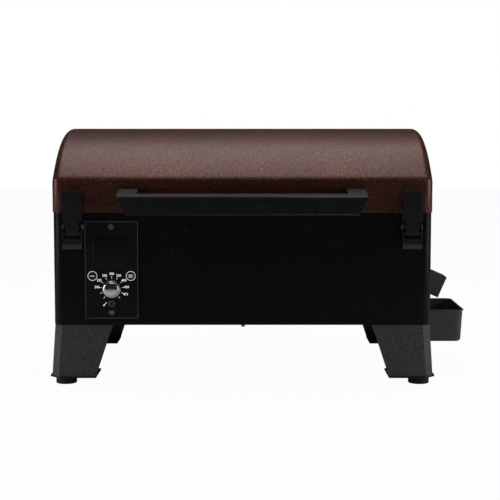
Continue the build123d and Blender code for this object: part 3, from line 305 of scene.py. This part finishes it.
def footRubber():
    paint = Paint("footRubber")
    dust = paint.noise(140, 4.0, 0.6)
    tooth = paint.noise(1500, 2.0)
    paint.colour(paint.ramp(dust, [(0.35, 0.010), (0.75, 0.024)]))
    paint.rough(paint.ramp(dust, [(0.3, 0.62), (0.7, 0.8)]))
    paint.bump(tooth, 0.00005, 0.5)
    return paint.material


def sealFelt():
    paint = Paint("sealFelt")
    weave = paint.add("ShaderNodeTexWave", wave_type="BANDS", bands_direction="DIAGONAL", Scale=420.0,
                      Distortion=1.5)
    paint.join(paint.place, weave.inputs["Vector"])
    fuzz = paint.noise(900, 3.0)
    paint.colour(paint.ramp(paint.mix(0.5, weave.outputs["Fac"], fuzz), [(0.2, 0.035), (0.8, 0.11)]))
    paint.bump(weave.outputs["Fac"], 0.0002, 0.7)
    paint.fixed(Roughness=0.9, Sheen_Weight=0.3)
    return paint.material


def blackPlastic():
    paint = Paint("blackPlastic")
    texture = paint.noise(1800, 3.0, 0.6)
    cloud = paint.noise(40, 2.0)
    paint.colour(paint.ramp(cloud, [(0.3, 0.010), (0.7, 0.016)]))
    paint.rough(paint.ramp(texture, [(0.3, 0.38), (0.7, 0.55)]))
    paint.bump(texture, 0.00004, 0.5)
    return paint.material


def boardGreen():
    paint = Paint("boardGreen")
    tracks = paint.add("ShaderNodeTexBrick", Scale=160.0)
    paint.join(paint.place, tracks.inputs["Vector"])
    paint.colour(paint.ramp(tracks.outputs["Fac"], [(0.4, (0.010, 0.075, 0.030)),
                                                    (0.6, (0.035, 0.16, 0.07))]))
    paint.rough(paint.ramp(paint.noise(300), [(0.3, 0.3), (0.7, 0.45)]))
    return paint.material


def whitePrint(name="whitePrint", tone=0.92):
    # screen-printed ink, a touch uneven, that also glows a little: painted light that brightens the print
    paint = Paint(name)
    ink = paint.noise(1600, 3.0, 0.6)
    paint.colour(paint.ramp(ink, [(0.3, tone * 0.8), (0.7, tone)]))
    paint.rough(paint.ramp(ink, [(0.3, 0.5), (0.7, 0.65)]))
    # the ink gives off light of its own though it is no lamp: a painted brightening so the print reads white
    paint.fixed(Emission_Color=(1, 1, 1, 1), Emission_Strength=tone * 0.75)
    return paint.material


finishes = {
    "lid_enamel": lidEnamel(),
    "body_paint": bodyPaint(),
    "leg_paint": legPaint(),
    "satin_black": satinBlack(),
    "panel_black": panelBlack(),
    "window_glass": windowGlass(),
    "chrome_trim": chromeTrim(),
    "zinc_steel": zincSteel(),
    "foot_rubber": footRubber(),
    "grate_iron": grateIron(),
    "seal_felt": sealFelt(),
    "black_plastic": blackPlastic(),
    "board_green": boardGreen(),
    "screw_black": satinBlack("screwBlack", 0.020, 0.26, 0.40),
}
soot = sootSteel()
inkWhiteGlowing = whitePrint()
inkFaintGlowing = whitePrint("faintGlowingPrint", 0.11)
sooty = ("burn_pot", "pot_housing", "broiler_plate", "broiler_slider", "igniter", "grease_gutter")
report("finishes made")


def setFinish(piece, material):
    piece.data.materials.clear()
    piece.data.materials.append(material)


slotOf = {entry["node"]: entry["material_slot"] for entry in frame["record"]["subparts"]}
for name, piece in nodes.items():
    setFinish(piece, soot if name in sooty else finishes[slotOf[name]])
setFinish(nodes["probe_jack"], zincSteel("jackSteel", 0.16, 0.3, 0.45))
setFinish(nodes["panel_screws"], zincSteel("screwSteel", 0.22, 0.22, 0.36))


# softened edges on the carried-over nodes
edgeWidths = {
    "body_shell": 0.6, "lid_shell": 0.5, "lid_handle": 1.1, "panel_plate": 0.5, "display_window": 0.4,
    "latch_hook_left": 0.5, "latch_hook_right": 0.5, "latch_lever_left": 0.4, "latch_lever_right": 0.4,
    "latch_bases": 0.4, "latch_keepers": 0.4, "foot_plates": 0.6, "grease_spout": 0.4,
    "leg_front_left": 0.9, "leg_front_right": 0.9, "leg_rear_left": 0.9, "leg_rear_right": 0.9,
    "rear_housing": 0.5, "hopper_lid": 0.5, "hinge_body_leaves": 0.4, "hinge_lid_leaves": 0.4,
    "cooking_grates": 0.8, "auger_motor": 0.6, "power_inlet": 0.6,
    "grease_bucket": 0.3,
}
for name, width in edgeWidths.items():
    weld = nodes[name].modifiers.new("weld", "WELD")
    weld.merge_threshold = samePoint
    soften = nodes[name].modifiers.new("soften", "BEVEL")
    soften.width = width * mm
    soften.segments = 2
    soften.limit_method = "ANGLE"
    soften.angle_limit = math.radians(edgeAngle)
    soften.harden_normals = True
    soften.use_clamp_overlap = True


# making pieces
def newPiece(name, points, faces, material, body):
    mesh = bpy.data.meshes.new(name)
    mesh.from_pydata(np.asarray(points, float).tolist(), [], [list(map(int, face)) for face in faces])
    mesh.update()
    piece = bpy.data.objects.new(name, mesh)
    bpy.context.scene.collection.objects.link(piece)
    setFinish(piece, material)
    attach(piece, body)
    return piece


def gridFaces(rows, columns, wrapRows=False, wrapColumns=False):
    # quads of a rows by columns grid of points, closed round either way if asked
    r = np.arange(rows if wrapRows else rows - 1)
    c = np.arange(columns if wrapColumns else columns - 1)
    r, c = np.meshgrid(r, c, indexing="ij")
    nextR, nextC = (r + 1) % rows, (c + 1) % columns
    corners = [r * columns + c, r * columns + nextC, nextR * columns + nextC, nextR * columns + c]
    return np.stack(corners, -1).reshape(-1, 4)


def smooth(piece, angle):
    piece.data.polygons.foreach_set("use_smooth", np.ones(len(piece.data.polygons), bool))
    piece.data.set_sharp_from_angle(angle=math.radians(angle))


# print on the panel
inkRise = 0.05 * mm
inkSpread = 0.05 * mm   # how much heavier the numbers are than the plain letter shapes


def flatRing(name, x, z, inner, outer, turns=64):
    # a flat ring of ink: two radii swept round a centre, raised a hair off the panel's face
    angles = np.radians(np.linspace(0, 360, turns, endpoint=False))
    radii = np.array([inner, outer, outer, inner])
    depths = np.array([0.0, 0.0, -inkRise, -inkRise]) + panelFace
    a, k = np.meshgrid(angles, np.arange(4), indexing="ij")
    points = np.stack([x + radii[k] * np.sin(a), depths[k], z + radii[k] * np.cos(a)], -1).reshape(-1, 3)
    faces = gridFaces(turns, 4, wrapRows=True, wrapColumns=True)
    return newPiece(name, points, faces, inkWhiteGlowing, "root")


def inkBars(name, bars, body="root", ink=None, face=None):
    # short straight strokes of ink: each bar is a centre (two values), a direction, a length and a width
    bars = np.asarray(bars, float)
    centre, angle, length, width = bars[:, :2], np.radians(bars[:, 2]), bars[:, 3], bars[:, 4]
    along = np.stack([np.sin(angle), np.cos(angle)], -1)
    across = np.stack([np.cos(angle), -np.sin(angle)], -1)
    signs = np.array([[-1, -1], [1, -1], [1, 1], [-1, 1]])
    flat = (centre[:, None] + signs[None, :, :1] * along[:, None] * length[:, None, None] / 2
            + signs[None, :, 1:] * across[:, None] * width[:, None, None] / 2)
    depth = np.full(flat.shape[:2] + (1,), panelFace if face is None else face)
    low = np.concatenate([flat[..., :1], depth, flat[..., 1:]], -1)
    high = low - np.array([0, inkRise, 0])
    points = np.concatenate([low, high], 1).reshape(-1, 3)
    box = np.array([[0, 1, 2, 3], [7, 6, 5, 4], [0, 4, 5, 1], [1, 5, 6, 2], [2, 6, 7, 3], [3, 7, 4, 0]])
    faces = (box[None] + 8 * np.arange(len(bars))[:, None, None]).reshape(-1, 4)
    return newPiece(name, points, faces, ink or inkWhiteGlowing, body)


def inkText(name, text, x, z, height):
    # a number as ink, centred on x and z, with its thickness in the mesh
    data = bpy.data.curves.new(name, "FONT")
    data.body = text
    data.size = height
    data.offset = inkSpread
    data.align_x = "CENTER"
    data.align_y = "CENTER"
    data.extrude = inkRise / 2
    shown = bpy.data.objects.new(name, data)
    bpy.context.scene.collection.objects.link(shown)
    bpy.context.view_layer.update()
    mesh = bpy.data.meshes.new_from_object(shown.evaluated_get(bpy.context.evaluated_depsgraph_get()))
    points = np.zeros(len(mesh.vertices) * 3)
    mesh.vertices.foreach_get("co", points)
    points = points.reshape(-1, 3)
    placed = np.stack([points[:, 0] + x, panelFace - inkRise / 2 - points[:, 2], points[:, 1] + z], -1)
    mesh.vertices.foreach_set("co", placed.ravel())
    mesh.update()
    bpy.data.objects.remove(shown)
    piece = bpy.data.objects.new(name, mesh)
    bpy.context.scene.collection.objects.link(piece)
    setFinish(piece, inkWhiteGlowing)
    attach(piece, "root")
    return piece


def printPanel():
    dial = {"numbers": [200, 225, 250, 300, 350, 400, 450, 475], "firstAngle": -84, "lastAngle": 112,
            "numberRadius": 21.3 * mm, "tickInner": 14.8 * mm, "tickOuter": 17.8 * mm, "tickWidth": 0.5 * mm,
            "digit": 4.7 * mm, "endTicks": [-140, -112, 140]}
    angles = np.linspace(dial["firstAngle"], dial["lastAngle"], len(dial["numbers"]))
    for number, angle in zip(dial["numbers"], angles):
        turn = math.radians(angle)
        inkText(f"dial_{number}", str(number), knobX + dial["numberRadius"] * math.sin(turn),
                knobZ + dial["numberRadius"] * math.cos(turn), dial["digit"])
    middle = (dial["tickInner"] + dial["tickOuter"]) / 2
    ticks = []
    for angle in list(angles) + dial["endTicks"]:
        turn = math.radians(angle)
        ticks.append([knobX + middle * math.sin(turn), knobZ + middle * math.cos(turn), angle,
                      dial["tickOuter"] - dial["tickInner"], dial["tickWidth"]])
    inkBars("dial_ticks", ticks)
    ring = {"inner": 6.2 * mm, "outer": 6.75 * mm}
    for name in ("button_left", "button_right"):
        low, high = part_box(name)
        x, z = (low.x + high.x) / 2, (low.z + high.z) / 2
        flatRing(f"ring_{name}", x, z, ring["inner"], ring["outer"])
    # border line just inside the panel's edge
    inset, line = 1.2 * mm, 0.22 * mm
    wide, tall = (panelHigh.x - panelLow.x) - 2 * inset, (panelHigh.z - panelLow.z) - 2 * inset
    midZ = (panelLow.z + panelHigh.z) / 2
    border = [[panelX, midZ + tall / 2, 90, wide, line], [panelX, midZ - tall / 2, 90, wide, line],
              [panelX - wide / 2, midZ, 0, tall, line], [panelX + wide / 2, midZ, 0, tall, line]]
    inkBars("panel_border", border, ink=inkFaintGlowing)
    # probe mark beside the jack: a needle with a round end
    probe = {"left": 9 * mm, "lean": 45, "length": 5.5 * mm, "width": 0.6 * mm, "endLeft": 11.4 * mm,
             "endDrop": 2.4 * mm, "endInner": 0.5 * mm, "endOuter": 1.1 * mm}
    inkBars("probe_mark", [[panelX - probe["left"], jackZ, probe["lean"], probe["length"], probe["width"]]])
    flatRing("probe_mark_end", panelX - probe["endLeft"], jackZ - probe["endDrop"], probe["endInner"],
             probe["endOuter"], turns=24)


def buttonMarks():
    # one short bar on the left button, two on the right
    mark = {"length": 6.0 * mm, "width": 0.7 * mm}
    for name, steps in (("button_left", (0.0,)), ("button_right", (-1.3, 1.3))):
        low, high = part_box(name)
        x, z = (low.x + high.x) / 2, (low.z + high.z) / 2
        bars = [[x, z + step * mm, 90, mark["length"], mark["width"]] for step in steps]
        inkBars(f"mark_{name}", bars, body=name, face=low.y)


def flutedKnob():
    # a profile turned about the shaft; on the grip the radius swings in and out with the angle, once
    # for each flute, by the flutes' depth as a share of the radius, and elsewhere it is the profile's own
    knob = {"turns": 216, "flutes": 36, "depth": 0.045, "offPanel": 0.6 * mm, "sharpAbove": 35}
    face = panelFace - knob["offPanel"]
    # radius, distance in front of the knob's back (both in mm), and 1 where the flutes run
    foot = [(3.0, 0.0, 0), (12.4, 0.0, 0), (12.9, 0.3, 0), (13.0, 0.9, 0), (13.0, 2.2, 0), (12.8, 2.7, 0),
            (12.0, 3.0, 0)]
    grip = [(11.7, 3.3, 1), (11.6, 4.4, 1), (11.4, 8.0, 1), (11.2, 11.6, 1), (11.0, 12.6, 1)]
    dome = [(10.7, 13.2, 0), (10.2, 13.7, 0), (9.4, 14.2, 0), (8.2, 14.7, 0), (6.6, 15.15, 0),
            (4.8, 15.45, 0), (2.8, 15.65, 0), (1.2, 15.72, 0), (0.01, 15.74, 0)]
    profile = np.array(foot + grip + dome)
    angles = np.linspace(0, 2 * np.pi, knob["turns"], endpoint=False)
    angle, row = np.meshgrid(angles, np.arange(len(profile)), indexing="xy")
    swing = knob["depth"] * profile[row, 2] * (1 - np.cos(knob["flutes"] * angle)) / 2
    radius = profile[row, 0] * mm * (1 - swing)
    depth = face - profile[row, 1] * mm
    points = np.stack([knobX + radius * np.sin(angle), depth, knobZ + radius * np.cos(angle)], -1)
    faces = gridFaces(len(profile), knob["turns"], wrapColumns=True)
    backFace = [list(range(knob["turns"]))]
    piece = newPiece("knob_chrome", points.reshape(-1, 3), list(map(list, faces)) + backFace,
                     finishes["chrome_trim"], "knob")
    smooth(piece, knob["sharpAbove"])
    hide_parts("control_knob")


printPanel()
buttonMarks()
flutedKnob()
report("panel printed")


# stage and light
def makeStage():
    size = 6.0          # half the floor's width
    whiteShare = 0.97   # how much of what the camera sees of the floor is plain white
    mesh = bpy.data.meshes.new("floor")
    corners = [(-size, -size, 0), (size, -size, 0), (size, size, 0), (-size, size, 0)]
    mesh.from_pydata(corners, [], [(0, 1, 2, 3)])
    floor = bpy.data.objects.new("floor", mesh)
    bpy.context.scene.collection.objects.link(floor)
    material = bpy.data.materials.new("floorWhite")
    material.use_nodes = True
    tree = material.node_tree
    shader = tree.nodes["Principled BSDF"]
    shader.inputs["Base Color"].default_value = (0.86, 0.86, 0.86, 1)
    shader.inputs["Roughness"].default_value = 0.9
    glow = tree.nodes.new("ShaderNodeEmission")
    glow.inputs["Color"].default_value = (1, 1, 1, 1)
    glow.inputs["Strength"].default_value = 1.0
    blend = tree.nodes.new("ShaderNodeMixShader")
    rays = tree.nodes.new("ShaderNodeLightPath")
    output = tree.nodes["Material Output"]
    share = tree.nodes.new("ShaderNodeMath")
    share.operation = "MULTIPLY"
    share.inputs[1].default_value = whiteShare
    tree.links.new(rays.outputs["Is Camera Ray"], share.inputs[0])
    tree.links.new(share.outputs[0], blend.inputs["Fac"])
    tree.links.new(shader.outputs[0], blend.inputs[1])
    tree.links.new(glow.outputs[0], blend.inputs[2])
    tree.links.new(blend.outputs[0], output.inputs["Surface"])
    mesh.materials.append(material)


def makeWorld():
    roomGlow = 0.02     # the faint even light of the room
    world = bpy.data.worlds.new("studio")
    bpy.context.scene.world = world
    world.use_nodes = True
    tree = world.node_tree
    background = tree.nodes["Background"]
    rays = tree.nodes.new("ShaderNodeLightPath")
    white = tree.nodes.new("ShaderNodeBackground")
    white.inputs["Color"].default_value = (1, 1, 1, 1)
    white.inputs["Strength"].default_value = 1.0
    background.inputs["Color"].default_value = (1, 1, 1, 1)
    background.inputs["Strength"].default_value = roomGlow
    mixer = tree.nodes.new("ShaderNodeMixShader")
    tree.links.new(rays.outputs["Is Camera Ray"], mixer.inputs["Fac"])
    tree.links.new(background.outputs[0], mixer.inputs[1])
    tree.links.new(white.outputs[0], mixer.inputs[2])
    tree.links.new(mixer.outputs[0], tree.nodes["World Output"].inputs["Surface"])


def softBox(name, place, target, size, power):
    data = bpy.data.lights.new(name, "AREA")
    data.shape = "RECTANGLE"
    data.size, data.size_y = size
    data.energy = power
    lamp = bpy.data.objects.new(name, data)
    lamp.location = place
    bpy.context.scene.collection.objects.link(lamp)
    lamp.rotation_euler = (target - place).to_track_quat("-Z", "Y").to_euler()


def makeLights():
    # for each lamp: its place and its target from the body's middle, its size, its power
    lamps = {
        "overhead": ((0.0, 0.35, 1.7), (0.0, 0.05, 0.3), (1.5, 1.3), 11.5),
        "highFront": ((0.0, -1.3, 2.3), (0.0, 0.0, 0.30), (1.6, 0.35), 4.0),
        "leftStrip": ((-1.3, -0.5, 0.45), (0.0, -0.1, 0.25), (0.3, 0.8), 4.0),
        "rightStrip": ((1.3, -0.5, 0.45), (0.0, -0.1, 0.25), (0.3, 0.8), 4.0),
    }
    middle = Vector((bodyX, bodyY, 0))
    for name, (place, target, size, power) in lamps.items():
        softBox(name, middle + Vector(place), middle + Vector(target), size, power)


makeStage()
makeWorld()
makeLights()
scene = bpy.context.scene
scene.view_settings.view_transform = "Standard"
report("stage and lights set")
